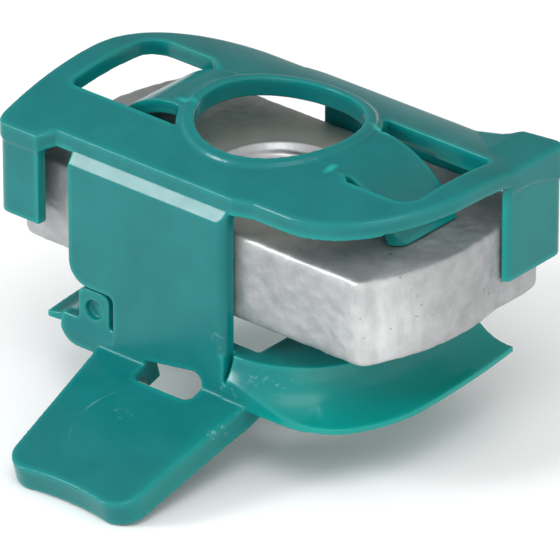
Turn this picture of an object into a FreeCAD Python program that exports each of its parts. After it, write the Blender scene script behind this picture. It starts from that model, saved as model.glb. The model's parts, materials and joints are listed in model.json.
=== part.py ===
import FreeCAD, Part
import math
import os
import Sketcher

doc = FreeCAD.newDocument("channel_nut")
sheet = doc.addObject("Spreadsheet::Sheet", "sizes")
V3 = FreeCAD.Vector


class Size:
    """A length with the sheet expression that gives it."""

    def __init__(self, text, number):
        self.text = text
        self.number = float(number)

    def __add__(self, other):
        other = plain(other)
        return Size("(%s + %s)" % (self.text, other.text), self.number + other.number)

    def __radd__(self, other):
        return plain(other) + self

    def __sub__(self, other):
        other = plain(other)
        return Size("(%s - %s)" % (self.text, other.text), self.number - other.number)

    def __rsub__(self, other):
        return plain(other) - self

    def __mul__(self, other):
        other = plain(other)
        return Size("(%s * %s)" % (self.text, other.text), self.number * other.number)

    def __rmul__(self, other):
        return plain(other) * self

    def __truediv__(self, other):
        other = plain(other)
        return Size("(%s / %s)" % (self.text, other.text), self.number / other.number)

    def __neg__(self):
        return Size("(0 - %s)" % self.text, -self.number)


def plain(value):
    return value if isinstance(value, Size) else Size("%.6g" % value, value)


def root(value):
    return Size("sqrt(%s)" % value.text, math.sqrt(value.number))


def angle_of(sine):
    return Size("asin(%s)" % sine.text, math.degrees(math.asin(sine.number)))


row_count = [0]


def size(name, number):
    row_count[0] += 1
    row = str(row_count[0])
    sheet.set("A" + row, name)
    sheet.set("B" + row, "%.6g" % number)
    sheet.setAlias("B" + row, name)
    return Size("sizes." + name, number)


# Steel nut block
nut_length = size("nut_length", 35.6)
nut_width = size("nut_width", 18.7)
nut_height = size("nut_height", 7.4)
nut_bulge = size("nut_bulge", 0.45)
nut_corner_round = size("nut_corner_round", 0.7)
nut_heel_round = size("nut_heel_round", 3.0)
nut_bottom_round = size("nut_bottom_round", 0.6)
nut_top_round = size("nut_top_round", 0.35)
bore_radius = size("bore_radius", 4.25)
bore_cone_radius = size("bore_cone_radius", 5.5)

# Clearances between the moulding and the nut
side_clear = size("side_clear", 0.12)
end_clear = size("end_clear", 0.12)
ledge_clear = size("ledge_clear", 0.05)
tongue_clear = size("tongue_clear", 0.02)

# Cambered top plate
plate_gap = size("plate_gap", 3.65)
plate_thick = size("plate_thick", 1.35)
camber_radius = size("camber_radius", 32.0)
end_wall = size("end_wall", 0.68)
plate_edge_inset = size("plate_edge_inset", 1.0)
leg_edge_inset = size("leg_edge_inset", 0.65)
edge_step_gap = size("edge_step_gap", 0.4)
edge_step_run = size("edge_step_run", 1.5)
plate_corner_radius = size("plate_corner_radius", 10.0)
tab_corner_radius = size("tab_corner_radius", 1.1)
ring_radius = size("ring_radius", 6.4)
ring_band = size("ring_band", 1.4)
bead_width = size("bead_width", 0.9)
bead_height = size("bead_height", 0.3)
bar_width = size("bar_width", 2.35)
window_wide = size("window_wide", 5.4)
window_narrow = size("window_narrow", 4.4)
window_corner_radius = size("window_corner_radius", 1.8)
window_end_radius = size("window_end_radius", 0.8)
slit_width = size("slit_width", 0.15)
slit_end = size("slit_end", 9.3)
slit_run = size("slit_run", 1.0)

# Arched spring tongue
tongue_wide = size("tongue_wide", 3.3)
tongue_narrow = size("tongue_narrow", 3.4)
tongue_bend = size("tongue_bend", 8.3)
tongue_thick = size("tongue_thick", 1.1)
tongue_start = size("tongue_start", 7.0)
tongue_lap = size("tongue_lap", 1.8)
tongue_sink = size("tongue_sink", 0.1)
tongue_corner_radius = size("tongue_corner_radius", 1.3)

# Corner tab
tab_out = size("tab_out", 0.5)
tab_front = size("tab_front", 4.3)
tab_back = size("tab_back", 4.7)
tab_slant = size("tab_slant", 0.45)
tab_thick = size("tab_thick", 0.9)
tab_slope = size("tab_slope", 1.0)
tab_foot = size("tab_foot", 2.75)
tab_inset = size("tab_inset", 0.12)
rise_run = size("rise_run", 8.0)
rise_foot = size("rise_foot", 0.8)
rise_end = size("rise_end", 0.4)

# Leg with its bevelled shoulder, lip notch and snap ledge
leg_thick = size("leg_thick", 1.35)
leg_left = size("leg_left", 11.7)
leg_right = size("leg_right", 3.65)
leg_drop = size("leg_drop", 5.8)
leg_lap = size("leg_lap", 1.2)
leg_haunch = size("leg_haunch", 0.9)
leg_round = size("leg_round", 0.75)
shoulder_drop = size("shoulder_drop", 2.75)
bevel_height = size("bevel_height", 1.0)
notch_reach = size("notch_reach", 4.4)
notch_top = size("notch_top", 1.2)
notch_corner_radius = size("notch_corner_radius", 1.8)
notch_inner_radius = size("notch_inner_radius", 0.6)
ledge_left = size("ledge_left", 4.4)
ledge_right = size("ledge_right", 1.0)
ledge_reach = size("ledge_reach", 1.3)
ledge_height = size("ledge_height", 1.4)

# Ear below the lip notch
ear_out = size("ear_out", 1.0)
ear_top_drop = size("ear_top_drop", 4.3)
ear_drop = size("ear_drop", 6.6)
ear_radius = size("ear_radius", 1.8)
ear_slope = size("ear_slope", 1.1)

# Drooping finger handle
handle_length = size("handle_length", 13.0)
handle_drop = size("handle_drop", 9.4)
handle_thick = size("handle_thick", 2.15)
handle_skin = size("handle_skin", 1.0)
handle_rim = size("handle_rim", 1.1)
handle_root_left = size("handle_root_left", 8.8)
handle_root_right = size("handle_root_right", 5.8)
handle_tip_left = size("handle_tip_left", 7.2)
handle_tip_right = size("handle_tip_right", 5.2)
handle_tip_radius = size("handle_tip_radius", 2.2)
handle_tip_hollow = size("handle_tip_hollow", 22.0)
slot_left = size("slot_left", 4.1)
slot_right = size("slot_right", 1.5)
slot_reach = size("slot_reach", 1.5)
slot_rise = size("slot_rise", 0.35)
slot_lean = size("slot_lean", 0.8)
slot_round = size("slot_round", 0.8)

# Flared spring wing under the nut
wing_gap = size("wing_gap", 2.4)
wing_shift = size("wing_shift", 0.35)
wing_thick = size("wing_thick", 1.3)
wing_rim = size("wing_rim", 0.5)
wing_turn = size("wing_turn", 8.05)
wing_bow = size("wing_bow", 80.0)
wing_recess = size("wing_recess", 0.75)
wing_front = size("wing_front", 0.1)
wing_shelf_in = size("wing_shelf_in", 5.2)
wing_flare = size("wing_flare", 4.0)
wing_drop = size("wing_drop", 3.25)
wing_hollow = size("wing_hollow", 4.0)
wing_sweep = size("wing_sweep", 90.0)
wing_end_gap = size("wing_end_gap", 0.75)
wall_reach = size("wall_reach", 8.3)
wall_drop = size("wall_drop", 2.2)
boss_inner = size("boss_inner", 8.0)
boss_outer = size("boss_outer", 11.1)
boss_top = size("boss_top", 1.6)
boss_drop = size("boss_drop", 4.8)
boss_lap = size("boss_lap", 1.2)
boss_sink = size("boss_sink", 0.4)
boss_radius = size("boss_radius", 0.7)
pit_radius = size("pit_radius", 0.8)
pit_depth = size("pit_depth", 0.5)
flange_reach = size("flange_reach", 1.0)

# How far a joined feature runs into its neighbour, and a cut past the moulding
joint_lap = size("joint_lap", 0.1)
cut_past = size("cut_past", 3.0)

doc.recompute()

# Heights above the nut's bearing face, and distances from its middle
nut_top = nut_height
plate_low = nut_top + plate_gap
plate_top = plate_low + plate_thick
camber_centre = plate_top - camber_radius
half_length = nut_length / 2
half_width = nut_width / 2
turn_radius = half_length + nut_bulge
leg_in = half_width + side_clear
leg_out = leg_in + leg_thick
tab_face = leg_out + tab_out
plate_end = half_length + end_clear + end_wall
plate_edge = leg_out - plate_edge_inset
leg_edge = leg_out - leg_edge_inset


def arch(y, radius):
    """Height of the cambered surface of this radius at a distance y from the middle."""
    return camber_centre + root(radius * radius - y * y)


def new_body(label):
    body = doc.addObject("PartDesign::Body", label)
    body.Label = label
    doc.recompute()
    return body


def origin_item(body, role):
    for item in body.Origin.OriginFeatures:
        if item.Role == role:
            return item
    raise ValueError(role)


def pin(sketch, geo, pos, x, y):
    """Hold one sketch point at x, y given as sheet sizes."""
    for kind, axis, value in (("DistanceX", -2, plain(x)), ("DistanceY", -1, plain(y))):
        if abs(value.number) < 1e-9:
            sketch.addConstraint(Sketcher.Constraint("PointOnObject", geo, pos, axis))
            continue
        index = sketch.addConstraint(Sketcher.Constraint(kind, -1, 1, geo, pos, value.number))
        sketch.setExpression("Constraints[%d]" % index, value.text)


def add_loop(sketch, corners):
    """Close a loop of (x, y) corners; (x, y, radius, turn) reaches its corner along an arc."""
    ends = []
    count = len(corners)
    for i in range(count):
        ax, ay = [plain(v) for v in corners[i][:2]]
        step = corners[(i + 1) % count]
        bx, by = [plain(v) for v in step[:2]]
        a = V3(ax.number, ay.number, 0)
        b = V3(bx.number, by.number, 0)
        if len(step) == 2:
            geo = sketch.addGeometry(Part.LineSegment(a, b), False)
            ends.append((geo, 1, 2))
            continue
        radius = plain(step[2])
        turn = step[3]
        chord = b - a
        rise = math.sqrt(max(radius.number ** 2 - (chord.Length / 2) ** 2, 0.0))
        normal = V3(-chord.y, chord.x, 0) / chord.Length
        centre = (a + b) * 0.5 + normal * (rise if turn > 0 else -rise)
        first, last = (a, b) if turn > 0 else (b, a)
        start = math.atan2(first.y - centre.y, first.x - centre.x)
        stop = math.atan2(last.y - centre.y, last.x - centre.x)
        if stop < start:
            stop += 2 * math.pi
        circle = Part.Circle(centre, V3(0, 0, 1), radius.number)
        geo = sketch.addGeometry(Part.ArcOfCircle(circle, start, stop), False)
        ends.append((geo, 1, 2) if turn > 0 else (geo, 2, 1))
        index = sketch.addConstraint(Sketcher.Constraint("Radius", geo, radius.number))
        sketch.setExpression("Constraints[%d]" % index, radius.text)
    for i in range(count):
        geo, _, end = ends[i]
        after, begin, _ = ends[(i + 1) % count]
        sketch.addConstraint(Sketcher.Constraint("Coincident", geo, end, after, begin))
    for i in range(count):
        geo, begin, _ = ends[i]
        pin(sketch, geo, begin, corners[i][0], corners[i][1])


def add_circle(sketch, x, y, radius):
    radius = plain(radius)
    circle = Part.Circle(V3(plain(x).number, plain(y).number, 0), V3(0, 0, 1), radius.number)
    geo = sketch.addGeometry(circle, False)
    index = sketch.addConstraint(Sketcher.Constraint("Radius", geo, radius.number))
    sketch.setExpression("Constraints[%d]" % index, radius.text)
    pin(sketch, geo, 3, x, y)


def new_sketch(body, name, plane, offset):
    sketch = body.newObject("Sketcher::SketchObject", name)
    sketch.AttachmentSupport = [(origin_item(body, plane), "")]
    sketch.MapMode = "FlatFace"
    offset = plain(offset)
    sketch.AttachmentOffset = FreeCAD.Placement(V3(0, 0, offset.number), FreeCAD.Rotation())
    sketch.setExpression("AttachmentOffset.Base.z", offset.text)
    return sketch


def extrude(body, kind, name, plane, offset, length, loops, circles=(), back=False):
    sketch = new_sketch(body, name + "_sketch", plane, offset)
    for corners in loops:
        add_loop(sketch, corners)
    for circle in circles:
        add_circle(sketch, *circle)
    feature = body.newObject("PartDesign::" + kind, name)
    feature.Profile = sketch
    length = plain(length)
    feature.Length = length.number
    feature.setExpression("Length", length.text)
    feature.Reversed = back
    sketch.Visibility = False
    doc.recompute()
    return feature


def pad_up(body, name, low, high, loops, circles=()):
    return extrude(body, "Pad", name, "XY_Plane", low, high - low, loops, circles)


def cut_up(body, name, low, high, loops, circles=()):
    return extrude(body, "Pocket", name, "XY_Plane", low, high - low, loops, circles, back=True)


def pad_x(body, name, low, high, loops):
    return extrude(body, "Pad", name, "YZ_Plane", low, high - low, loops)


def cut_x(body, name, low, high, loops):
    return extrude(body, "Pocket", name, "YZ_Plane", low, high - low, loops, back=True)


def pad_y(body, name, low, high, loops):
    return extrude(body, "Pad", name, "XZ_Plane", -high, high - low, loops)


def cut_y(body, name, low, high, loops, circles=()):
    return extrude(body, "Pocket", name, "XZ_Plane", -low, high - low, loops, circles)


def rounded_box(x0, y0, x1, y1, radius):
    """Corners of a rectangle whose four corners are rounded."""
    return [
        (x0 + radius, y0, radius, 1),
        (x1 - radius, y0),
        (x1, y0 + radius, radius, 1),
        (x1, y1 - radius),
        (x1 - radius, y1, radius, 1),
        (x0 + radius, y1),
        (x0, y1 - radius, radius, 1),
        (x0, y0 + radius),
    ]


def half_turn(body, name, features):
    """Repeat the features half a turn about the bore axis."""
    pattern = body.newObject("PartDesign::PolarPattern", name)
    pattern.Originals = features
    pattern.Axis = (origin_item(body, "Z_Axis"), [""])
    pattern.Angle = 360
    pattern.Occurrences = 2
    body.Tip = pattern
    doc.recompute()
    return pattern


def turned(corners):
    """The corners and their copies half a turn round, as one loop."""
    return corners + [(-plain(c[0]), -plain(c[1])) + tuple(c[2:]) for c in corners]


def dress(body, kind, name, base, wanted, value):
    """Round or chamfer the edges of base that wanted picks."""
    names = []
    for number, edge in enumerate(base.Shape.Edges, 1):
        if wanted(edge):
            names.append("Edge%d" % number)
    feature = body.newObject("PartDesign::" + kind, name)
    feature.Base = (base, names)
    label = "Radius" if kind == "Fillet" else "Size"
    setattr(feature, label, value.number)
    feature.setExpression(label, value.text)
    body.Tip = feature
    doc.recompute()
    return feature


def edge_low(edge):
    return edge.BoundBox.ZMin


def edge_high(edge):
    return edge.BoundBox.ZMax


# The nut block: two ends follow the turning circle, the other two corners stay sharp as stops
nut = new_body("nut_block")
arc_x = root(turn_radius * turn_radius - half_width * half_width)
arc_y = root(turn_radius * turn_radius - half_length * half_length)
nut_outline = turned([
    (-half_length, -half_width),
    (arc_x, -half_width),
    (half_length, arc_y, turn_radius, 1),
])
nut_pad = pad_up(nut, "block", 0, nut_top, [nut_outline])
bore = cut_up(nut, "bore", 0, nut_top, [], [(0, 0, bore_radius)])
cone_sketch = new_sketch(nut, "cone_sketch", "XZ_Plane", 0)
add_loop(cone_sketch, [(0, nut_top), (0, nut_top - bore_cone_radius), (bore_cone_radius, nut_top)])
cone = nut.newObject("PartDesign::Groove", "bore_cone")
cone.Profile = cone_sketch
cone.ReferenceAxis = (origin_item(nut, "Z_Axis"), [""])
cone.Angle = 360
cone_sketch.Visibility = False
doc.recompute()


def upright(at_side):
    """Picks the upright edges on the nut's flat sides, or those where the arcs meet the ends."""
    def wanted(edge):
        box = edge.BoundBox
        tall = edge_high(edge) - edge_low(edge) > nut_height.number * 0.9
        far = math.hypot(box.Center.x, box.Center.y) > bore_cone_radius.number * 2
        on_side = abs(abs(box.Center.y) - half_width.number) < 0.01
        return tall and far and on_side == at_side
    return wanted


def nut_rim(level):
    """Picks the outer edges of the nut at this height."""
    def wanted(edge):
        flat = abs(edge_low(edge) - level.number) < 1e-4 and abs(edge_high(edge) - level.number) < 1e-4
        far = max(abs(edge.BoundBox.XMax), abs(edge.BoundBox.YMax)) > bore_cone_radius.number * 1.2
        return flat and far
    return wanted


heel_round = dress(nut, "Fillet", "heel_round", cone, upright(False), nut_heel_round)
side_round = dress(nut, "Fillet", "corner_round", heel_round, upright(True), nut_corner_round)
low_round = dress(nut, "Fillet", "bottom_round", side_round, nut_rim(plain(0)), nut_bottom_round)
top_round = dress(nut, "Fillet", "top_round", low_round, nut_rim(nut_top), nut_top_round)

# The moulding: cambered plate trimmed to its outline
clip = new_body("spring_retainer")
outer = camber_radius
inner = camber_radius - plate_thick
plate = pad_x(clip, "plate", -plate_end, plate_end, [[
    (-tab_face, arch(tab_face, inner)),
    (tab_face, arch(tab_face, inner), inner, -1),
    (tab_face, arch(tab_face, outer)),
    (-tab_face, arch(tab_face, outer), outer, 1),
]])
round_start = plate_end - plate_corner_radius
tab_end = plate_end - tab_front
trim = plate_end + cut_past
outline = turned([
    (leg_right + edge_step_gap, -leg_edge),
    (leg_right + edge_step_gap + edge_step_run, -plate_edge),
    (round_start, -plate_edge),
    (plate_end, plate_corner_radius - plate_edge, plate_corner_radius, 1),
    (plate_end, tab_face - tab_corner_radius),
    (plate_end - tab_corner_radius, tab_face, tab_corner_radius, 1),
    (tab_end, tab_face),
    (tab_end - tab_slope, leg_edge),
])
frame = [(-trim, -trim), (trim, -trim), (trim, trim), (-trim, trim)]
plate_cut = cut_up(clip, "plate_outline", nut_top, plate_top + cut_past, [frame, outline])

# Wing: flared skirt bowed along the side and turned round the corner, cut off just in front of the leg
shelf_top = -wing_gap
wing_x = leg_right + wing_shift
wing_y = wing_turn + wing_recess - leg_out
wing_end = leg_in - wing_end_gap
ridge_x = wing_x + wing_turn
rim_x = ridge_x + wing_flare
rim_top = shelf_top - wing_drop
front_y = -leg_out - wing_front
skirt_loop = [
    (ridge_x, shelf_top, wing_hollow, -1),
    (ridge_x - wing_thick, shelf_top),
    (ridge_x - wing_thick, shelf_top - wing_thick),
    (rim_x, rim_top - wing_rim, wing_hollow + wing_thick, 1),
    (rim_x, rim_top),
]


def sweep_skirt(name, axis_x, angle, back):
    """Turn the skirt's profile about an upright axis at axis_x."""
    sketch = new_sketch(clip, name + "_sketch", "XZ_Plane", -wing_y)
    add_loop(sketch, skirt_loop)
    low = V3(axis_x.number, shelf_top.number, 0)
    line = sketch.addGeometry(Part.LineSegment(low, V3(axis_x.number, 0, 0)), True)
    pin(sketch, line, 1, axis_x, shelf_top)
    pin(sketch, line, 2, axis_x, 0)
    skirt = clip.newObject("PartDesign::Revolution", name)
    skirt.Profile = sketch
    skirt.ReferenceAxis = (sketch, ["Axis0"])
    skirt.Angle = angle.number
    skirt.setExpression("Angle", angle.text)
    skirt.Reversed = back
    sketch.Visibility = False
    doc.recompute()
    return skirt


side_run = wing_end - wing_y
side_skirt = sweep_skirt("side_skirt", ridge_x - wing_bow, angle_of(side_run / wing_bow), False)
corner_skirt = sweep_skirt("corner_skirt", wing_x, wing_sweep, True)
skirt_front = cut_y(clip, "skirt_front", front_y - wing_turn, front_y, [[
    (0, 0),
    (rim_x + cut_past, 0),
    (rim_x + cut_past, rim_top - cut_past),
    (0, rim_top - cut_past),
]])

# Wing: wall under its front, shelf under the nut and root flange
wall_right = leg_right + wall_reach
wall_low = rim_top - wing_rim
front_wall = pad_y(clip, "wing_wall", front_y, -leg_in, [[
    (leg_right, shelf_top - wall_drop),
    (leg_right, wall_low),
    (wall_right, wall_low),
    (wall_right, wall_low + wing_rim / 2),
]])
shelf_step = wing_shelf_in - wing_x
shelf = pad_up(clip, "wing_shelf", shelf_top - wing_thick, shelf_top, [[
    (wing_shelf_in, wing_y - root(wing_turn * wing_turn - shelf_step * shelf_step)),
    (ridge_x, wing_y, wing_turn, 1),
    (ridge_x - wing_bow + root(wing_bow * wing_bow - side_run * side_run), wing_end, wing_bow, 1),
    (wing_shelf_in, wing_end),
]])
flange = pad_up(clip, "root_flange", shelf_top - wing_thick, shelf_top, [[
    (-ledge_left, -leg_in - joint_lap),
    (wing_shelf_in + joint_lap, -leg_in - joint_lap),
    (wing_shelf_in + joint_lap, flange_reach - leg_in),
    (-ledge_left, flange_reach - leg_in),
]])

# Leg with bevelled shoulder, clear corner beside the channel lip and snap ledge under the nut
bevel_high = plate_top - shoulder_drop
bevel_low = bevel_high - bevel_height
haunch = leg_in - leg_haunch
lap_y = leg_edge - leg_lap
leg = pad_x(clip, "leg", -leg_left, leg_right, [[
    (-lap_y, arch(lap_y, inner) + plate_thick / 2),
    (-leg_edge, arch(leg_edge, outer)),
    (-leg_edge, bevel_high),
    (-leg_out, bevel_low),
    (-leg_out, -leg_drop),
    (-leg_in, -leg_drop),
    (-leg_in, arch(leg_in, inner) - leg_haunch),
    (-haunch, arch(haunch, inner) + joint_lap),
]])
leg_corner = cut_up(clip, "leg_corner", shelf_top, bevel_high, [[
    (leg_right - leg_round, -leg_out, leg_round, -1),
    (leg_right - leg_round, -leg_out - joint_lap),
    (leg_right + joint_lap, -leg_out - joint_lap),
    (leg_right + joint_lap, leg_round - leg_out),
    (leg_right, leg_round - leg_out),
]])
notch_x = leg_left - notch_reach
notch_left = -leg_left - cut_past
notch = cut_y(clip, "lip_notch", front_y - cut_past, joint_lap - leg_in, [[
    (notch_left, notch_corner_radius - notch_top),
    (-leg_left, notch_corner_radius - notch_top),
    (notch_corner_radius - leg_left, -notch_top, notch_corner_radius, 1),
    (-notch_x - notch_inner_radius, -notch_top),
    (-notch_x, -notch_top - notch_inner_radius, notch_inner_radius, -1),
    (-notch_x, -leg_drop - cut_past),
    (notch_left, -leg_drop - cut_past),
]])
ledge_low = -ledge_clear - ledge_height
ledge = pad_x(clip, "snap_ledge", -ledge_left, ledge_right, [[
    (-leg_in - joint_lap, -ledge_clear),
    (-leg_in - joint_lap, ledge_low - ledge_reach),
    (-leg_in, ledge_low - ledge_reach),
    (ledge_reach - leg_in, ledge_low),
    (ledge_reach - leg_in, -ledge_clear),
]])

# Corner tab wrapping the nut's sharp corner
tab_x = plate_end - tab_inset
tab_y = tab_face - tab_inset
tab_in_x = half_length + end_clear
tab_in_y = tab_y - tab_thick
tab = pad_up(clip, "corner_tab", tab_foot, plate_top, [[
    (-tab_x, -tab_back),
    (-tab_x, tab_corner_radius - tab_y),
    (tab_corner_radius - tab_x, -tab_y, tab_corner_radius, 1),
    (-tab_end, -tab_y),
    (-tab_end, -tab_in_y),
    (-tab_in_x, -tab_in_y),
    (-tab_in_x, tab_slant - tab_back),
]])
lower_half = half_turn(clip, "lower_half", [
    side_skirt, corner_skirt, skirt_front, front_wall, shelf, flange,
    leg, leg_corner, notch, ledge, tab,
])

# Everything above the cambered top surface comes off
top_y = tab_face + cut_past
top_cut = cut_x(clip, "top_surface", -trim, trim, [[
    (-top_y, arch(top_y, outer), outer, 1),
    (-top_y, plate_top + cut_past),
    (top_y, plate_top + cut_past),
    (top_y, arch(top_y, outer)),
]])

# Bead round the ring hole, raised a little above the camber
bead_edge = ring_radius + bead_width
bead = pad_up(clip, "ring_bead", arch(bead_edge, outer) - joint_lap, plate_top + bead_height, [],
              [(0, 0, ring_radius - joint_lap), (0, 0, bead_edge)])
bead_outer = outer + bead_height
bead_top = cut_x(clip, "bead_top", -trim, trim, [[
    (-bead_edge - cut_past, arch(bead_edge + cut_past, bead_outer), bead_outer, 1),
    (-bead_edge - cut_past, plate_top + cut_past),
    (bead_edge + cut_past, plate_top + cut_past),
    (bead_edge + cut_past, arch(bead_edge + cut_past, bead_outer)),
]])

# The plate's corner over the rear tab rises out of the camber, on that corner only
rise_x = plate_end - rise_run
rise_low = arch(tab_face, outer) - joint_lap
rise = pad_y(clip, "corner_rise", tab_back, tab_face, [[
    (rise_x, rise_low),
    (plate_end, rise_low),
    (plate_end, plate_top - rise_end),
    (tab_end, plate_top - rise_foot),
    (rise_x, arch(leg_edge, outer)),
]])
rise_trim = cut_up(clip, "corner_rise_outline", rise_low - joint_lap, plate_top + cut_past, [
    [
        (rise_x - joint_lap, leg_edge),
        (tab_end - tab_slope, leg_edge),
        (tab_end, tab_face),
        (tab_end, tab_face + cut_past),
        (rise_x - joint_lap, tab_face + cut_past),
    ],
    [
        (plate_end, tab_face - tab_corner_radius, tab_corner_radius, -1),
        (plate_end + cut_past, tab_face - tab_corner_radius),
        (plate_end + cut_past, tab_face + cut_past),
        (plate_end - tab_corner_radius, tab_face + cut_past),
        (plate_end - tab_corner_radius, tab_face),
    ],
])

# Boss with a pit at the wing's end, inside the lip notch
boss_face = leg_out - boss_sink
boss = pad_y(clip, "wing_boss", wing_end - boss_lap, boss_face, [
    rounded_box(boss_inner, -boss_drop, boss_outer, -boss_top, boss_radius),
])
pit = cut_y(clip, "boss_pit", boss_face - pit_depth, boss_face + cut_past, [],
            [((boss_inner + boss_outer) / 2, -(boss_top + boss_drop) / 2, pit_radius)])

# Ear beside the lip notch and the drooping handle, on the front leg only
ear_x = leg_left + ear_out
ear = pad_y(clip, "ear", -leg_out, -leg_in, [[
    (joint_lap - notch_x, -ear_top_drop),
    (-ear_x, -ear_top_drop),
    (-ear_x, ear_radius - ear_drop),
    (ear_radius - ear_x, -ear_drop, ear_radius, 1),
    (joint_lap - notch_x, -ear_drop),
]])
ear_face = cut_x(clip, "ear_slope", -ear_x - cut_past, -notch_x, [[
    (-boss_face, -ear_top_drop),
    (-leg_out - cut_past, -ear_top_drop),
    (-leg_out - cut_past, -ear_top_drop - ear_slope),
    (-leg_out, -ear_top_drop - ear_slope),
]])
handle_fall = handle_drop - leg_drop
slope_length = root(handle_length * handle_length + handle_fall * handle_fall)
slope = math.degrees(math.atan2(handle_fall.number, handle_length.number))


def slanted_pad(name, depth, loops):
    """Pad loops drawn on the handle's sloping top face down to this depth."""
    sketch = new_sketch(clip, name + "_sketch", "XY_Plane", -leg_drop)
    sketch.AttachmentOffset = FreeCAD.Placement(
        V3(0, -leg_out.number, -leg_drop.number), FreeCAD.Rotation(V3(1, 0, 0), slope))
    sketch.setExpression("AttachmentOffset.Base.y", (-leg_out).text)
    sketch.setExpression("AttachmentOffset.Rotation.Angle", "atan(%s)" % (handle_fall / handle_length).text)
    for corners in loops:
        add_loop(sketch, corners)
    pad = clip.newObject("PartDesign::Pad", name)
    pad.Profile = sketch
    pad.Length = depth.number
    pad.setExpression("Length", depth.text)
    pad.Reversed = True
    sketch.Visibility = False
    doc.recompute()
    return pad


handle_outline = [
    (-handle_root_left, leg_thick),
    (-handle_root_left, 0),
    (-handle_tip_left, handle_tip_radius - slope_length),
    (handle_tip_radius - handle_tip_left, -slope_length, handle_tip_radius, 1),
    (handle_tip_right - handle_tip_radius, -slope_length, handle_tip_hollow, -1),
    (handle_tip_right, handle_tip_radius - slope_length, handle_tip_radius, 1),
    (handle_root_right, 0),
    (handle_root_right, leg_thick),
]
tip_half = (handle_tip_left + handle_tip_right) / 2 - handle_tip_radius
tip_depth = handle_tip_hollow - root(handle_tip_hollow * handle_tip_hollow - tip_half * tip_half)
core_radius = handle_tip_radius - handle_rim
core_end = handle_rim + tip_depth - slope_length
handle_core = [
    (handle_rim - handle_root_left, 0),
    (handle_rim - handle_tip_left, core_end + core_radius),
    (handle_rim + core_radius - handle_tip_left, core_end, core_radius, 1),
    (handle_tip_right - handle_rim - core_radius, core_end),
    (handle_tip_right - handle_rim, core_end + core_radius, core_radius, 1),
    (handle_root_right - handle_rim, 0),
]
handle = slanted_pad("handle", handle_skin, [handle_outline])
handle_wall = slanted_pad("handle_wall", handle_thick, [handle_outline, handle_core])
slot_top = slot_rise - leg_drop
slot = cut_up(clip, "root_slot", slot_top - handle_drop, slot_top, [
    rounded_box(-slot_left, -leg_out - slot_reach, slot_right, cut_past - leg_in, slot_round),
])
slot_head = cut_y(clip, "slot_head", -leg_out - joint_lap, joint_lap - leg_in, [[
    (-slot_left, slot_top - joint_lap),
    (slot_right, slot_top - joint_lap),
    (slot_right, slot_top + slot_lean - slot_round),
    (slot_right - slot_round, slot_top + slot_lean, slot_round, 1),
    (-slot_left, slot_top),
]])

# Windows, arched spring tongues and the ring hole
window_end = plate_end - bar_width
band = ring_radius + ring_band
slit_edge = tongue_narrow + slit_width
window = cut_up(clip, "window", nut_top + tab_inset, plate_top + cut_past, [[
    (root(band * band - slit_edge * slit_edge), -slit_edge, band, -1),
    (slit_end, -slit_edge),
    (slit_end + slit_run, -window_narrow),
    (window_end - window_corner_radius, -window_narrow),
    (window_end, window_corner_radius - window_narrow, window_corner_radius, 1),
    (window_end, window_wide - window_end_radius),
    (window_end - window_end_radius, window_wide, window_end_radius, 1),
    (root(band * band - window_wide * window_wide), window_wide),
]])
tongue_top = plate_top - tongue_sink
tongue_foot = nut_top + tongue_clear
tongue_rise = tongue_foot - tongue_top + tongue_bend
tongue_inner = tongue_bend - tongue_thick
tongue_root = tongue_start - tongue_lap
tongue = pad_y(clip, "tongue", -tongue_narrow, tongue_wide, [[
    (tongue_root, tongue_top),
    (tongue_root, tongue_top - tongue_thick),
    (tongue_start, tongue_top - tongue_thick),
    (tongue_start + root(tongue_inner * tongue_inner - tongue_rise * tongue_rise), tongue_foot,
     tongue_inner, -1),
    (tongue_start + root(tongue_bend * tongue_bend - tongue_rise * tongue_rise), tongue_foot),
    (tongue_start, tongue_top, tongue_bend, 1),
]])
tongue_tip = tongue_start + root(tongue_bend * tongue_bend - tongue_rise * tongue_rise)
tongue_round = cut_up(clip, "tongue_corner", nut_top, plate_low, [[
    (tongue_tip - tongue_corner_radius, -tongue_narrow, tongue_corner_radius, -1),
    (tongue_tip - tongue_corner_radius, -tongue_narrow - joint_lap),
    (tongue_tip + joint_lap, -tongue_narrow - joint_lap),
    (tongue_tip + joint_lap, tongue_corner_radius - tongue_narrow),
    (tongue_tip, tongue_corner_radius - tongue_narrow),
]])
upper_half = half_turn(clip, "upper_half", [boss, pit, window, tongue, tongue_round])
ring_hole = cut_up(clip, "ring_hole", nut_top + tab_inset, plate_top + cut_past, [],
                   [(0, 0, ring_radius)])

for item in doc.Objects:
    if "Invalid" in item.State or "Error" in item.State:
        raise RuntimeError("%s failed: %s" % (item.Name, item.State))
for part in (nut, clip):
    if part.Shape.isNull() or not part.Shape.isValid() or len(part.Shape.Solids) != 1:
        raise RuntimeError("%s is not one valid solid" % part.Label)

os.makedirs("parts", exist_ok=True)
for part in (nut, clip):
    part.Shape.exportStep("parts/%s.step" % part.Label)
    print(part.Label, round(part.Shape.Volume, 2), "mm3")
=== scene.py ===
import json
import math

import bmesh
import bpy
from mathutils import Matrix, Vector, noise


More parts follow.
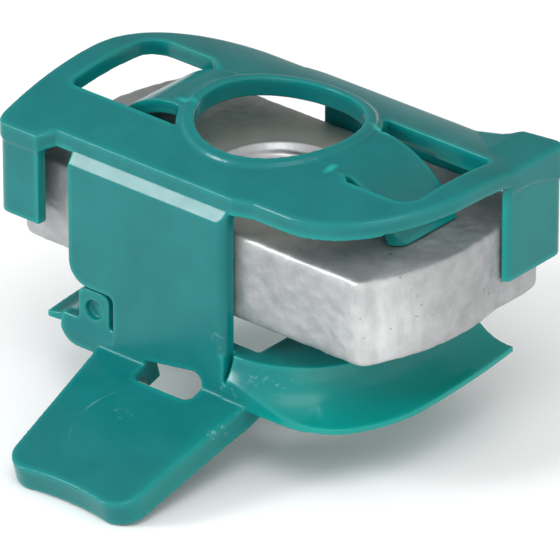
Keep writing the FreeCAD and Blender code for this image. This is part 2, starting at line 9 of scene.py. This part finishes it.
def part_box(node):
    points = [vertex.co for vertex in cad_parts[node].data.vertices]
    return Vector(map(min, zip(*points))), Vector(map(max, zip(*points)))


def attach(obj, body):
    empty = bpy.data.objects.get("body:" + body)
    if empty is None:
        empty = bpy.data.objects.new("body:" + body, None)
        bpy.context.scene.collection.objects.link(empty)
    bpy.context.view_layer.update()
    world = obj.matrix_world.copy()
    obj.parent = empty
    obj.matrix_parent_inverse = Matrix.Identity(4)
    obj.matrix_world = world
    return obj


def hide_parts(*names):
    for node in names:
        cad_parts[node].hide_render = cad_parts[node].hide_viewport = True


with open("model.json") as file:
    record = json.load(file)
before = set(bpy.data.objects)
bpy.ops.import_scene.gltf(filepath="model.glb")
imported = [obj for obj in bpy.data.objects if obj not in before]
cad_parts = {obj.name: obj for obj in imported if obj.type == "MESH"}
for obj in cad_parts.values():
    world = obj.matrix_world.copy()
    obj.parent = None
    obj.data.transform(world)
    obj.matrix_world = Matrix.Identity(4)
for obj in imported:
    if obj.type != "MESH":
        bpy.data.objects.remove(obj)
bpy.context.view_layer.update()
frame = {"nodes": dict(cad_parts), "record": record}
MM = 0.001
scene = bpy.context.scene
nodes = frame["nodes"]
mounts = {mount["name"]: mount for mount in frame["record"]["mounts"]}

# Sizes read from the frame
clip_low, clip_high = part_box("spring_retainer")
nut_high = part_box("nut_block")[1]
BORE = mounts["bolt_thread"]["dims"]["r_mm"] * MM
BORE_LENGTH = mounts["bolt_thread"]["dims"]["length_mm"] * MM

# Thread of the bore, which runs out in the countersink
PITCH = 1.5 * MM
THREAD_DEPTH = 0.75 * MM
THREAD_START = 0.36
THREAD_FADE = 0.5 * MM
CREST_SHARE = 0.75
ROOT_SHARE = 0.125
COLUMNS = 96
ROWS_PER_PITCH = 16

# The bore's own faces: slack beyond the countersink's rim, and the most their normals may point up or down
WALL_SLACK = 0.03 * MM
WALL_TILT = 0.9

# Skin of each piece: size of its cells, rounds of smoothing all over and on the soft edges, triangles kept
JOIN = 0.0001 * MM
SKIN_CELL = 0.08 * MM
SKIN_ROUNDS = 12
RIM_ROUNDS = 80
SKIN_FACES = 190000
NUT_CELL = 0.12 * MM
NUT_ROUNDS = 3
NUT_EDGE_ROUNDS = 140
NUT_FACES = 90000

# Where the nut is worn, and the lumps of its zinc
NUT_INSIDE = 7.5 * MM
NUT_TOP_SHARE = 0.4
LUMP_RISE = 2
LUMP_LENGTH = 0.9 * MM
LUMP_HEIGHT = 0.05 * MM
LUMP_SINK = 1.0
FINE_LUMPS = 2.3
FINE_LUMP_SHARE = 0.5

# Where the moulding's edges are soft: rims of plate and tabs, handle, ring
RIM_WIDTH = 1.3 * MM
RIM_END = 1.5
RIM_THICK = 2.4 * MM
RIM_START = 5.5 * MM
TAB_START = 13.5 * MM
PLATE_CORNER = 10.0 * MM
PLATE_INSET = 1.5 * MM
HANDLE_START = 11.6 * MM
HANDLE_SHARE = 0.3
RING_REACH = 8.2 * MM
RING_LOW = 10.0 * MM
RING_SHARE = 0.35

# Rounded corner at the foot of each wing: its point, the two edges it lies between and its size
WING_CORNER = Vector((12.12, -10.92)) * MM
WING_EDGES = (Vector((0.669, 0.743)), Vector((-1.0, 0.0)))
WING_ROUND = 3.2 * MM
WING_SLACK = 1.1


def clamped(value):
    """The value held between 0 and 1."""
    return min(max(value, 0.0), 1.0)


def link(obj):
    scene.collection.objects.link(obj)
    return obj


def shown(name, shape):
    """A smooth-shaded object made from a bmesh."""
    mesh = bpy.data.meshes.new(name)
    shape.to_mesh(mesh)
    shape.free()
    mesh.shade_smooth()
    return link(bpy.data.objects.new(name, mesh))


def joined(node):
    """A bmesh of a CAD node with its split corners joined."""
    shape = bmesh.new()
    shape.from_mesh(nodes[node].data)
    bmesh.ops.remove_doubles(shape, verts=shape.verts, dist=JOIN)
    return shape


def settle(obj):
    """Make the object's modifiers its own mesh."""
    graph = bpy.context.evaluated_depsgraph_get()
    mesh = bpy.data.meshes.new_from_object(obj.evaluated_get(graph))
    obj.modifiers.clear()
    obj.data = mesh


def stands_for(obj, node):
    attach(obj, "root")
    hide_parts(node)


def nut_share(place):
    """The nut's outer edges are worn round, most of all at the bottom; the threaded bore is not."""
    if place.xy.length < NUT_INSIDE:
        return 0.0
    return 1 - (1 - NUT_TOP_SHARE) * place.z / nut_high.z


def clip_share(place):
    """How far a point belongs to the soft edges of plate, tabs, ring and handle, from 0 to 1."""
    side = math.copysign(1, place.x)
    along = place.x * side
    across = place.y * side
    if place.y < -HANDLE_START:
        return HANDLE_SHARE
    if place.z > RING_LOW and place.xy.length < RING_REACH:
        return RING_SHARE
    if place.z < clip_high.z - RIM_THICK or along < RIM_START:
        return 0.0
    inside = clip_high.x - along
    if across < 0:
        out_x = max(along + PLATE_CORNER - clip_high.x, 0)
        out_y = min(across + clip_high.y - PLATE_INSET - PLATE_CORNER, 0)
        inside = PLATE_CORNER - math.hypot(out_x, out_y)
    elif along > TAB_START:
        inside = min(inside, clip_high.y - across)
    return clamped(RIM_END - inside / RIM_WIDTH)


def round_wings(mesh):
    """Bend the pointed foot of each wing into a round corner."""
    first, second = WING_EDGES
    area = first.cross(second)
    for vertex in mesh.vertices:
        if vertex.co.z > 0:
            continue
        side = math.copysign(1, vertex.co.x)
        off = vertex.co.xy * side - WING_CORNER
        near_first = 1 - off.cross(second) / area / WING_ROUND
        near_second = 1 - first.cross(off) / area / WING_ROUND
        if not (0 < near_first < WING_SLACK and 0 < near_second < WING_SLACK):
            continue
        pull = max(near_first, near_second) / math.hypot(near_first, near_second) - 1
        move = -WING_ROUND * pull * (near_first * first + near_second * second) * side
        vertex.co.x += move.x
        vertex.co.y += move.y


def roughen_nut(mesh):
    """The slight lumps of the zinc on the nut's outer faces and edges."""
    moves = []
    for vertex in mesh.vertices:
        share = clamped((vertex.co.xy.length - NUT_INSIDE) / NUT_INSIDE * LUMP_RISE)
        coarse = noise.noise(vertex.co / LUMP_LENGTH)
        fine = noise.noise(vertex.co * FINE_LUMPS / LUMP_LENGTH)
        height = coarse + FINE_LUMP_SHARE * fine
        moves.append(vertex.normal * (LUMP_HEIGHT * share * (height - LUMP_SINK)))
    for vertex, move in zip(mesh.vertices, moves):
        vertex.co += move


def soften(obj, cell, rounds, share_of, share_rounds, faces, finish):
    """Give the object an even skin, round its edges, finish its faces and thin the skin out again."""
    skin = obj.modifiers.new("skin", "REMESH")
    skin.mode = "VOXEL"
    skin.voxel_size = cell
    settle(obj)
    group = obj.vertex_groups.new(name="soft")
    for vertex in obj.data.vertices:
        share = share_of(vertex.co)
        if share > 0:
            group.add([vertex.index], share, "REPLACE")
    edges = obj.modifiers.new("edges", "SMOOTH")
    edges.iterations = rounds
    rims = obj.modifiers.new("rims", "SMOOTH")
    rims.iterations = share_rounds
    rims.vertex_group = group.name
    settle(obj)
    obj.vertex_groups.clear()
    finish(obj.data)
    triangles = 2 * len(obj.data.polygons)
    thin = obj.modifiers.new("thin", "DECIMATE")
    thin.ratio = min(faces / triangles, 1.0)
    even = obj.modifiers.new("even", "WEIGHTED_NORMAL")
    even.keep_sharp = False
    settle(obj)


def moulded_retainer():
    """The moulding with the soft edges and filled creases of a moulded part."""
    obj = shown("moulded_retainer", joined("spring_retainer"))
    soften(obj, SKIN_CELL, SKIN_ROUNDS, clip_share, RIM_ROUNDS, SKIN_FACES, round_wings)
    stands_for(obj, "spring_retainer")
    return obj


def bore_reach(turn, height):
    """Radius of the threaded bore and its countersink at an angle and a height."""
    phase = (height / PITCH - turn / (2 * math.pi) + THREAD_START) % 1.0
    from_root = abs(2 * phase - 1)
    share = clamped((CREST_SHARE - from_root) / (CREST_SHARE - ROOT_SHARE))
    thread = BORE + THREAD_DEPTH * share * min(height / THREAD_FADE, 1.0)
    return max(thread, BORE + height - BORE_LENGTH)


def open_bore(shape):
    """Take the plain bore and its countersink out of the nut, and give the lower and the upper rim."""
    cone_reach = BORE + nut_high.z - BORE_LENGTH
    wall = []
    for face in shape.faces:
        near = all(vertex.co.xy.length < cone_reach + WALL_SLACK for vertex in face.verts)
        if near and abs(face.normal.z) < WALL_TILT:
            wall.append(face)
    bmesh.ops.delete(shape, geom=wall, context="FACES")
    lower = []
    upper = []
    for edge in shape.edges:
        if edge.is_boundary:
            rim = upper if edge.verts[0].co.z > nut_high.z / 2 else lower
            rim.append(edge)
    return lower, upper


def thread_rings(shape):
    """Add the threaded wall of the bore to the nut, and give its rings of points from the bottom up."""
    rows = round(nut_high.z / PITCH * ROWS_PER_PITCH)
    rings = []
    for row in range(1, rows):
        height = nut_high.z * row / rows
        ring = []
        for column in range(COLUMNS):
            turn = 2 * math.pi * column / COLUMNS
            reach = bore_reach(turn, height)
            ring.append(shape.verts.new((reach * math.cos(turn), reach * math.sin(turn), height)))
        rings.append(ring)
    for low, high in zip(rings, rings[1:]):
        for column in range(COLUMNS):
            after = (column + 1) % COLUMNS
            shape.faces.new((low[after], low[column], high[column], high[after]))
    return rings


def threaded_nut():
    """The nut with a right-hand thread cut into its bore and countersink."""
    shape = joined("nut_block")
    lower, upper = open_bore(shape)
    rings = thread_rings(shape)
    for rim, ring in ((lower, rings[0]), (upper, rings[-1])):
        ring_edges = [shape.edges.get((ring[i], ring[i - 1])) for i in range(COLUMNS)]
        bmesh.ops.bridge_loops(shape, edges=rim + ring_edges)
    bmesh.ops.recalc_face_normals(shape, faces=shape.faces)
    obj = shown("threaded_nut", shape)
    soften(obj, NUT_CELL, NUT_ROUNDS, nut_share, NUT_EDGE_ROUNDS, NUT_FACES, roughen_nut)
    stands_for(obj, "nut_block")
    return obj


# How shut in a point is, read as an outer edge and as an inner corner
AO_SAMPLES = 4
THIN_SPAN = (0.95, 0.35)
CREASE_SPAN = (0.9, 0.45)


class Shade:
    """A material's node tree, with short calls for the nodes used here."""

    def __init__(self, name):
        self.material = bpy.data.materials.new(name)
        self.material.use_nodes = True
        self.tree = self.material.node_tree
        self.surface = self.tree.nodes["Principled BSDF"]
        self.place = self.new("ShaderNodeTexCoord").outputs["Object"]

    def new(self, kind, **settings):
        node = self.tree.nodes.new(kind)
        for key, value in settings.items():
            setattr(node, key, value)
        return node

    def join(self, source, socket):
        self.tree.links.new(source, socket)

    def fill(self, socket, value):
        if isinstance(value, bpy.types.NodeSocket):
            self.join(value, socket)
        else:
            socket.default_value = value

    def set(self, socket, value):
        self.fill(self.surface.inputs[socket], value)

    def stretched(self, x, y, z):
        node = self.new("ShaderNodeMapping")
        self.join(self.place, node.inputs["Vector"])
        node.inputs["Scale"].default_value = (x, y, z)
        return node.outputs["Vector"]

    def noise(self, scale, detail, rough, vector=None):
        node = self.new("ShaderNodeTexNoise")
        self.join(vector or self.place, node.inputs["Vector"])
        node.inputs["Scale"].default_value = scale
        node.inputs["Detail"].default_value = detail
        node.inputs["Roughness"].default_value = rough
        return node.outputs["Fac"]

    def span(self, value, low, high, to_low=0.0, to_high=1.0):
        node = self.new("ShaderNodeMapRange")
        self.join(value, node.inputs["Value"])
        node.inputs["From Min"].default_value = low
        node.inputs["From Max"].default_value = high
        node.inputs["To Min"].default_value = to_low
        node.inputs["To Max"].default_value = to_high
        return node.outputs["Result"]

    def combine(self, operation, first, second):
        node = self.new("ShaderNodeMath", operation=operation)
        self.fill(node.inputs[0], first)
        self.fill(node.inputs[1], second)
        return node.outputs["Value"]

    def times(self, first, second):
        return self.combine("MULTIPLY", first, second)

    def mix(self, amount, first, second):
        node = self.new("ShaderNodeMix", data_type="RGBA")
        self.fill(node.inputs["Factor"], amount)
        self.fill(node.inputs["A"], first)
        self.fill(node.inputs["B"], second)
        return node.outputs["Result"]

    def pattern(self, kind, to_low=0.0, to_high=1.0, vector=None):
        """A noise pattern, spread over a range of values."""
        scale, detail, rough, low, high = kind
        return self.span(self.noise(scale, detail, rough, vector), low, high, to_low, to_high)

    def relief(self, kind, below=None):
        """A fine noise relief, on top of another one if that is given."""
        scale, detail, rough, strength, distance = kind
        height = self.noise(scale, detail, rough)
        node = self.new("ShaderNodeBump")
        self.join(height, node.inputs["Height"])
        node.inputs["Strength"].default_value = strength
        node.inputs["Distance"].default_value = distance
        if below:
            self.join(below, node.inputs["Normal"])
        return node.outputs["Normal"]

    def openness(self, reach, inside):
        node = self.new("ShaderNodeAmbientOcclusion", inside=inside, only_local=True, samples=AO_SAMPLES)
        node.inputs["Distance"].default_value = reach
        return node.outputs["AO"]

    def thinness(self, reach):
        """One on outer edges and thin rims, nought on faces with more than reach behind them."""
        return self.span(self.openness(reach, True), *THIN_SPAN)

    def crease(self, reach):
        """One in inner corners, nought on open faces."""
        return self.span(self.openness(reach, False), *CREASE_SPAN)

    def patch(self, place, reach):
        """One at a place, falling to nought at a reach along each axis, all in millimetres."""
        node = self.new("ShaderNodeVectorMath", operation="SUBTRACT")
        self.join(self.place, node.inputs[0])
        node.inputs[1].default_value = Vector(place) * MM
        size = self.new("ShaderNodeVectorMath", operation="DIVIDE")
        self.join(node.outputs["Vector"], size.inputs[0])
        size.inputs[1].default_value = Vector(reach) * MM
        length = self.new("ShaderNodeVectorMath", operation="LENGTH")
        self.join(size.outputs["Vector"], length.inputs[0])
        return self.span(length.outputs["Value"], 0.0, 1.0, 1.0, 0.0)

    def axes(self):
        node = self.new("ShaderNodeSeparateXYZ")
        self.join(self.place, node.inputs["Vector"])
        return node.outputs["X"], node.outputs["Y"], node.outputs["Z"]

    def reach(self, x=0.0, y=0.0):
        """Distance from an upright axis at a place given in millimetres."""
        node = self.new("ShaderNodeVectorMath", operation="DISTANCE")
        self.join(self.stretched(1, 1, 0), node.inputs[0])
        node.inputs[1].default_value = (x * MM, y * MM, 0)
        return node.outputs["Value"]

    def arc(self, x, y, radius, width):
        """One on a circle round an upright axis, in millimetres."""
        off = self.combine("SUBTRACT", self.reach(x, y), radius * MM)
        return self.span(self.combine("ABSOLUTE", off, 0.0), 0.0, width * MM, 1.0, 0.0)


# Colours of the moulding; the edge, crease, wing and glint colours and some of the scuff colour are painted
# light
TEAL_DARK = (0.001, 0.138, 0.14, 1)
TEAL_LIGHT = (0.004, 0.162, 0.163, 1)
TEAL_EDGE_HIGHLIGHT = (0.002, 0.33, 0.29, 1)
TEAL_CREASE_HIGHLIGHT = (0.004, 0.36, 0.31, 1)
TEAL_WING_LIT = (0.002, 0.3, 0.255, 1)
TEAL_PAINTED_GLINT = (0.02, 0.6, 0.52, 1)
TEAL_SCUFF_AND_HIGHLIGHT = (0.4, 0.62, 0.62, 1)

# Patterns of the moulding: scale per metre, detail, roughness, and the two values that they run between
CLOUDS = (300.0, 4.0, 0.5, 0.3, 0.7)
GLEAM = (1100.0, 4.0, 0.5, 0.35, 0.6)
SPECKS = (1700.0, 5.0, 0.65, 0.56, 0.72)
SCRATCH_GAPS = (600.0, 4.0, 0.5, 0.4, 0.65)
GLOSS = (900.0, 4.0, 0.5, 0.3, 0.7)

# Reliefs of the moulding: scale per metre, detail, roughness, strength and depth in metres
RIPPLE = (420.0, 3.0, 0.5, 0.05, 0.0002)
GRAIN = (2600.0, 3.0, 0.5, 0.08, 0.00004)

# Strength of each tint and painted highlight, gloss of the plastic
EDGE_HIGHLIGHT_REACH = 0.6 * MM
EDGE_HIGHLIGHT_STRENGTH = 0.75
CREASE_HIGHLIGHT_REACH = 0.35 * MM
CREASE_HIGHLIGHT_STRENGTH = 0.5
GLEAM_STRENGTH = (0.2, 0.9)
SCRATCH_STRENGTH = (0.0, 0.4)
TEAL_ROUGHNESS = (0.2, 0.26)
TEAL_IOR = 1.45
TEAL_SPECULAR = 0.35

# Where the painted light on the wings starts and is full: along the nut, behind the ear, downwards and away
# from the bore
WING_LIGHT_ALONG = (4.0 * MM, 8.0 * MM)
WING_LIGHT_BEHIND = (-3.0 * MM, 0.0)
WING_LIGHT_DOWN = (-1.0 * MM, -2.5 * MM)
WING_LIGHT_AWAY = (11.0 * MM, 17.0 * MM)
WING_LIGHT_STRENGTH = (0.15, 0.75)

# Curved scratch on the handle, in millimetres: axis, radius, width, then the place and reach it keeps to
SCRATCH_ARC = (0.0, -16.8, 4.9, 0.1)
SCRATCH_PATCH = ((-4.8, -16.9, -7.2), (2, 4, 3))

# Scuffed places and painted highlights on the moulding, in millimetres: centre, reach along each axis and
# strength
SCUFFS_AND_HIGHLIGHTS = (
    ((-2.1, -15.8, -7.1), (1.1, 0.9, 4.0), 1.2),
    ((5.5, -13.6, -7.0), (0.6, 2.2, 0.8), 0.9),
    ((3.0, -10.8, -1.3), (0.8, 1.0, 0.9), 0.9),
    # Painted highlight where the leg meets the wing
    ((4.2, -10.2, -4.9), (1.3, 1.3, 1.2), 1.6),
    # Painted reflection along the front wing
    ((9.0, -10.0, -3.5), (6.0, 2.0, 0.9), 0.5),
    ((14.9, -8.4, -3.4), (2.4, 2.0, 0.8), 0.8),
)

# Painted highlights at the joints of the tongues and at the boss, in millimetres: centre and reach along
# each axis
PAINTED_GLINTS = (
    ((-6.9, -2.5, 12.0), (1.6, 0.5, 1.0)),
    ((7.1, 3.3, 12.0), (1.6, 0.5, 1.0)),
    ((8.1, -3.7, 11.7), (0.5, 1.0, 1.0)),
    ((-9.2, -10.6, -3.3), (0.5, 1.0, 0.7)),
)


def wing_painted_light(shade):
    """Share of the wings' brighter green, painted light that grows outwards from the nut's shade."""
    x, y, z = shade.axes()
    start, full = WING_LIGHT_ALONG
    front = shade.span(x, start, full)
    rear = shade.times(shade.span(x, -start, -full), shade.span(y, *WING_LIGHT_BEHIND))
    wing = shade.times(shade.combine("MAXIMUM", front, rear), shade.span(z, *WING_LIGHT_DOWN))
    return shade.times(wing, shade.span(shade.reach(), *WING_LIGHT_AWAY, *WING_LIGHT_STRENGTH))


def scuff_and_highlight_share(shade):
    """Share of the pale marks: the scratch on the handle, specks at the scuffed places, and two painted
    highlights.
    """
    specks = shade.pattern(SPECKS)
    scratch = shade.times(shade.arc(*SCRATCH_ARC), shade.patch(*SCRATCH_PATCH))
    pale_mark = shade.times(scratch, shade.pattern(SCRATCH_GAPS, *SCRATCH_STRENGTH))
    for place, reach, strength in SCUFFS_AND_HIGHLIGHTS:
        here = shade.times(shade.patch(place, reach), specks)
        pale_mark = shade.combine("MAXIMUM", pale_mark, shade.times(here, strength))
    return pale_mark


def teal_plastic():
    shade = Shade("teal_plastic")
    base = shade.mix(shade.pattern(CLOUDS), TEAL_DARK, TEAL_LIGHT)
    # Painted highlight: outer edges and thin rims made a lighter green
    thin = shade.times(shade.thinness(EDGE_HIGHLIGHT_REACH), EDGE_HIGHLIGHT_STRENGTH)
    base = shade.mix(thin, base, TEAL_EDGE_HIGHLIGHT)
    # Painted highlight: inner corners and creases made a lighter green
    inner = shade.times(shade.crease(CREASE_HIGHLIGHT_REACH), CREASE_HIGHLIGHT_STRENGTH)
    base = shade.mix(inner, base, TEAL_CREASE_HIGHLIGHT)
    # Painted light: the wings a brighter green away from the nut's shade
    base = shade.mix(wing_painted_light(shade), base, TEAL_WING_LIT)
    # Painted highlights at the joints, broken up by the gleam pattern
    gleam = shade.pattern(GLEAM, *GLEAM_STRENGTH)
    for place, reach in PAINTED_GLINTS:
        painted_glint = shade.times(shade.patch(place, reach), gleam)
        base = shade.mix(painted_glint, base, TEAL_PAINTED_GLINT)
    # Pale scuffs, with the painted highlight and reflection on the wing
    shade.set("Base Color", shade.mix(scuff_and_highlight_share(shade), base, TEAL_SCUFF_AND_HIGHLIGHT))
    shade.set("Roughness", shade.pattern(GLOSS, *TEAL_ROUGHNESS))
    shade.set("IOR", TEAL_IOR)
    shade.set("Specular IOR Level", TEAL_SPECULAR)
    shade.set("Normal", shade.relief(GRAIN, shade.relief(RIPPLE)))
    return shade.material


# Colours of the nut: mottled zinc, its worn edges, its smeared end, painted light on its top under the
# ring, pits, cut steel
ZINC_DARK = (0.34, 0.345, 0.35, 1)
ZINC_LIGHT = (0.45, 0.455, 0.46, 1)
ZINC_WORN = (0.62, 0.62, 0.62, 1)
ZINC_SMEAR = (0.8, 0.8, 0.8, 1)
ZINC_TOP_PAINTED_LIGHT = (0.85, 0.84, 0.72, 1)
ZINC_PIT = (0.12, 0.12, 0.115, 1)
STEEL_CUT = (0.47, 0.475, 0.48, 1)

# Patterns and relief of the nut, in the same order as those of the moulding
MOTTLE = (520.0, 6.0, 0.68, 0.35, 0.65)
WEAR = (600.0, 4.0, 0.5, 0.35, 0.65)
STREAKS = (1.0, 5.0, 0.6, 0.35, 0.6)
PITS = (1500.0, 2.0, 0.5, 0.24, 0.29)
DULLNESS = (700.0, 4.0, 0.5, 0.3, 0.7)
ZINC_GRAIN = (1400.0, 5.0, 0.6, 0.35, 0.0001)

# Strength and place of each tint and of the painted light on the top, gloss of the metal
WEAR_REACH = 0.9 * MM
STREAK_STRENGTH = (0.3, 0.9)
STREAK_STRETCH = (500, 500, 160)
SMEAR_PATCH = ((15.6, -7.0, 3.4), (5.0, 5.0, 6.0))
TOP_LIGHT_HEIGHT = (7.0 * MM, 7.3 * MM)
TOP_LIGHT_REACH = (13.0 * MM, 9.0 * MM)
TOP_LIGHT_STRENGTH = (0.0, 0.5)
PIT_STRENGTH = (0.7, 0.0)
CUT_REACH = (5.8 * MM, 5.4 * MM)
CUT_POLISH = 0.1
ZINC_METALLIC = 0.7
ZINC_ROUGHNESS = (0.4, 0.54)


def galvanised_steel():
    shade = Shade("galvanised_steel")
    base = shade.mix(shade.pattern(MOTTLE), ZINC_DARK, ZINC_LIGHT)
    worn = shade.times(shade.thinness(WEAR_REACH), shade.pattern(WEAR))
    base = shade.mix(worn, base, ZINC_WORN)
    streaks = shade.pattern(STREAKS, *STREAK_STRENGTH, vector=shade.stretched(*STREAK_STRETCH))
    smear = shade.times(streaks, shade.patch(*SMEAR_PATCH))
    base = shade.mix(smear, base, ZINC_SMEAR)
    # Painted light: the nut's top face round the bore, under the ring, made paler
    height = shade.axes()[2]
    top = shade.span(height, *TOP_LIGHT_HEIGHT, *TOP_LIGHT_STRENGTH)
    painted_top_light = shade.times(top, shade.span(shade.reach(), *TOP_LIGHT_REACH))
    base = shade.mix(painted_top_light, base, ZINC_TOP_PAINTED_LIGHT)
    base = shade.mix(shade.pattern(PITS, *PIT_STRENGTH), base, ZINC_PIT)
    cut = shade.span(shade.reach(), *CUT_REACH)
    shade.set("Base Color", shade.mix(cut, base, STEEL_CUT))
    shade.set("Metallic", ZINC_METALLIC)
    rough = shade.pattern(DULLNESS, *ZINC_ROUGHNESS)
    shade.set("Roughness", shade.combine("SUBTRACT", rough, shade.times(cut, CUT_POLISH)))
    shade.set("Normal", shade.relief(ZINC_GRAIN))
    return shade.material


def dress(obj, material):
    obj.data.materials.clear()
    obj.data.materials.append(material)


plastic = teal_plastic()
steel = galvanised_steel()
dress(nodes["spring_retainer"], plastic)
dress(nodes["nut_block"], steel)
dress(moulded_retainer(), plastic)
dress(threaded_nut(), steel)


# The camera stands where the photograph was taken from.
VIEW_TURN = math.radians(40.4)
VIEW_RISE = math.radians(28.25)
VIEW_DISTANCE = 691.75 * MM
VIEW_RIGHT = 0.0238 * MM
VIEW_DOWN = 1.3556 * MM
VIEW_LENS = 590.1
VIEW_SENSOR = 36.0
VIEW_NEAR = 0.01
right = Vector((math.cos(VIEW_TURN), math.sin(VIEW_TURN), 0))
ahead_x = -math.sin(VIEW_TURN) * math.cos(VIEW_RISE)
ahead_y = math.cos(VIEW_TURN) * math.cos(VIEW_RISE)
ahead = Vector((ahead_x, ahead_y, -math.sin(VIEW_RISE)))
up = right.cross(ahead)
camera_data = bpy.data.cameras.new("camera")
camera_data.lens = VIEW_LENS
camera_data.sensor_width = VIEW_SENSOR
camera_data.clip_start = VIEW_NEAR
camera = link(bpy.data.objects.new("camera", camera_data))
camera.matrix_world = Matrix((right, up, -ahead)).transposed().to_4x4()
camera.location = VIEW_RIGHT * right - VIEW_DOWN * up - VIEW_DISTANCE * ahead
scene.camera = camera


# Lamps: name, turn and rise in degrees, distance and size in metres, power in watts, colour
WHITE = (1, 1, 1)
COOL_WHITE = (0.96, 0.99, 1.0)
LAMPS = (
    ("key", -39, 25, 0.5, 0.14, 1.2, COOL_WHITE),
    ("front", 48, 6, 0.6, 0.4, 0.6, WHITE),
    ("side", 80, 4, 0.6, 0.3, 0.25, WHITE),
    ("top", 40, 62, 0.6, 0.3, 0.75, WHITE),
)

# White surroundings, dimmer behind the object: the way there, where along it they dim, and from and to what
DIM_WAY = (-0.58, 0.76, 0.3)
DIM_FROM = 0.4
DIM_TO = 1.0
BRIGHT_STRENGTH = 0.93
DIM_STRENGTH = 0.25

# The floor: half its side in metres, its two whites, their clouds and its gloss
FLOOR_HALF = 1.5
FLOOR_DARK = (0.95, 0.95, 0.95, 1)
FLOOR_LIGHT = (0.97, 0.97, 0.97, 1)
FLOOR_CLOUDS = (40.0, 3.0, 0.5)
FLOOR_ROUGHNESS = 0.8
FLOOR_SPECULAR = 0.1


def lamp(name, turn, rise, distance, size, power, colour):
    """A square soft light that looks at the object from a turn and a rise given in degrees."""
    data = bpy.data.lights.new(name, "AREA")
    data.size = size
    data.energy = power
    data.color = colour
    obj = link(bpy.data.objects.new(name, data))
    turn = math.radians(turn)
    rise = math.radians(rise)
    away = Vector((math.sin(turn) * math.cos(rise), -math.cos(turn) * math.cos(rise), math.sin(rise)))
    obj.location = away * distance
    obj.rotation_euler = away.to_track_quat("Z", "Y").to_euler()


def surroundings():
    world = bpy.data.worlds.new("studio")
    world.use_nodes = True
    scene.world = world
    tree = world.node_tree
    backdrop = tree.nodes["Background"]
    backdrop.inputs["Color"].default_value = (*WHITE, 1)
    direction = tree.nodes.new("ShaderNodeTexCoord")
    behind = tree.nodes.new("ShaderNodeVectorMath")
    behind.operation = "DOT_PRODUCT"
    behind.inputs[1].default_value = DIM_WAY
    tree.links.new(direction.outputs["Generated"], behind.inputs[0])
    dimmer = tree.nodes.new("ShaderNodeMapRange")
    dimmer.inputs["From Min"].default_value = DIM_FROM
    dimmer.inputs["From Max"].default_value = DIM_TO
    dimmer.inputs["To Min"].default_value = BRIGHT_STRENGTH
    dimmer.inputs["To Max"].default_value = DIM_STRENGTH
    tree.links.new(behind.outputs["Value"], dimmer.inputs["Value"])
    tree.links.new(dimmer.outputs["Result"], backdrop.inputs["Strength"])


def white_floor():
    half = FLOOR_HALF
    low = clip_low.z
    mesh = bpy.data.meshes.new("floor")
    corners = [(-half, -half, low), (half, -half, low), (half, half, low), (-half, half, low)]
    mesh.from_pydata(corners, [], [(0, 1, 2, 3)])
    obj = link(bpy.data.objects.new("floor", mesh))
    shade = Shade("floor")
    shade.set("Roughness", FLOOR_ROUGHNESS)
    shade.set("Specular IOR Level", FLOOR_SPECULAR)
    shade.set("Base Color", shade.mix(shade.noise(*FLOOR_CLOUDS), FLOOR_DARK, FLOOR_LIGHT))
    obj.data.materials.append(shade.material)


for row in LAMPS:
    lamp(*row)
surroundings()
white_floor()
scene.view_settings.view_transform = "Standard"
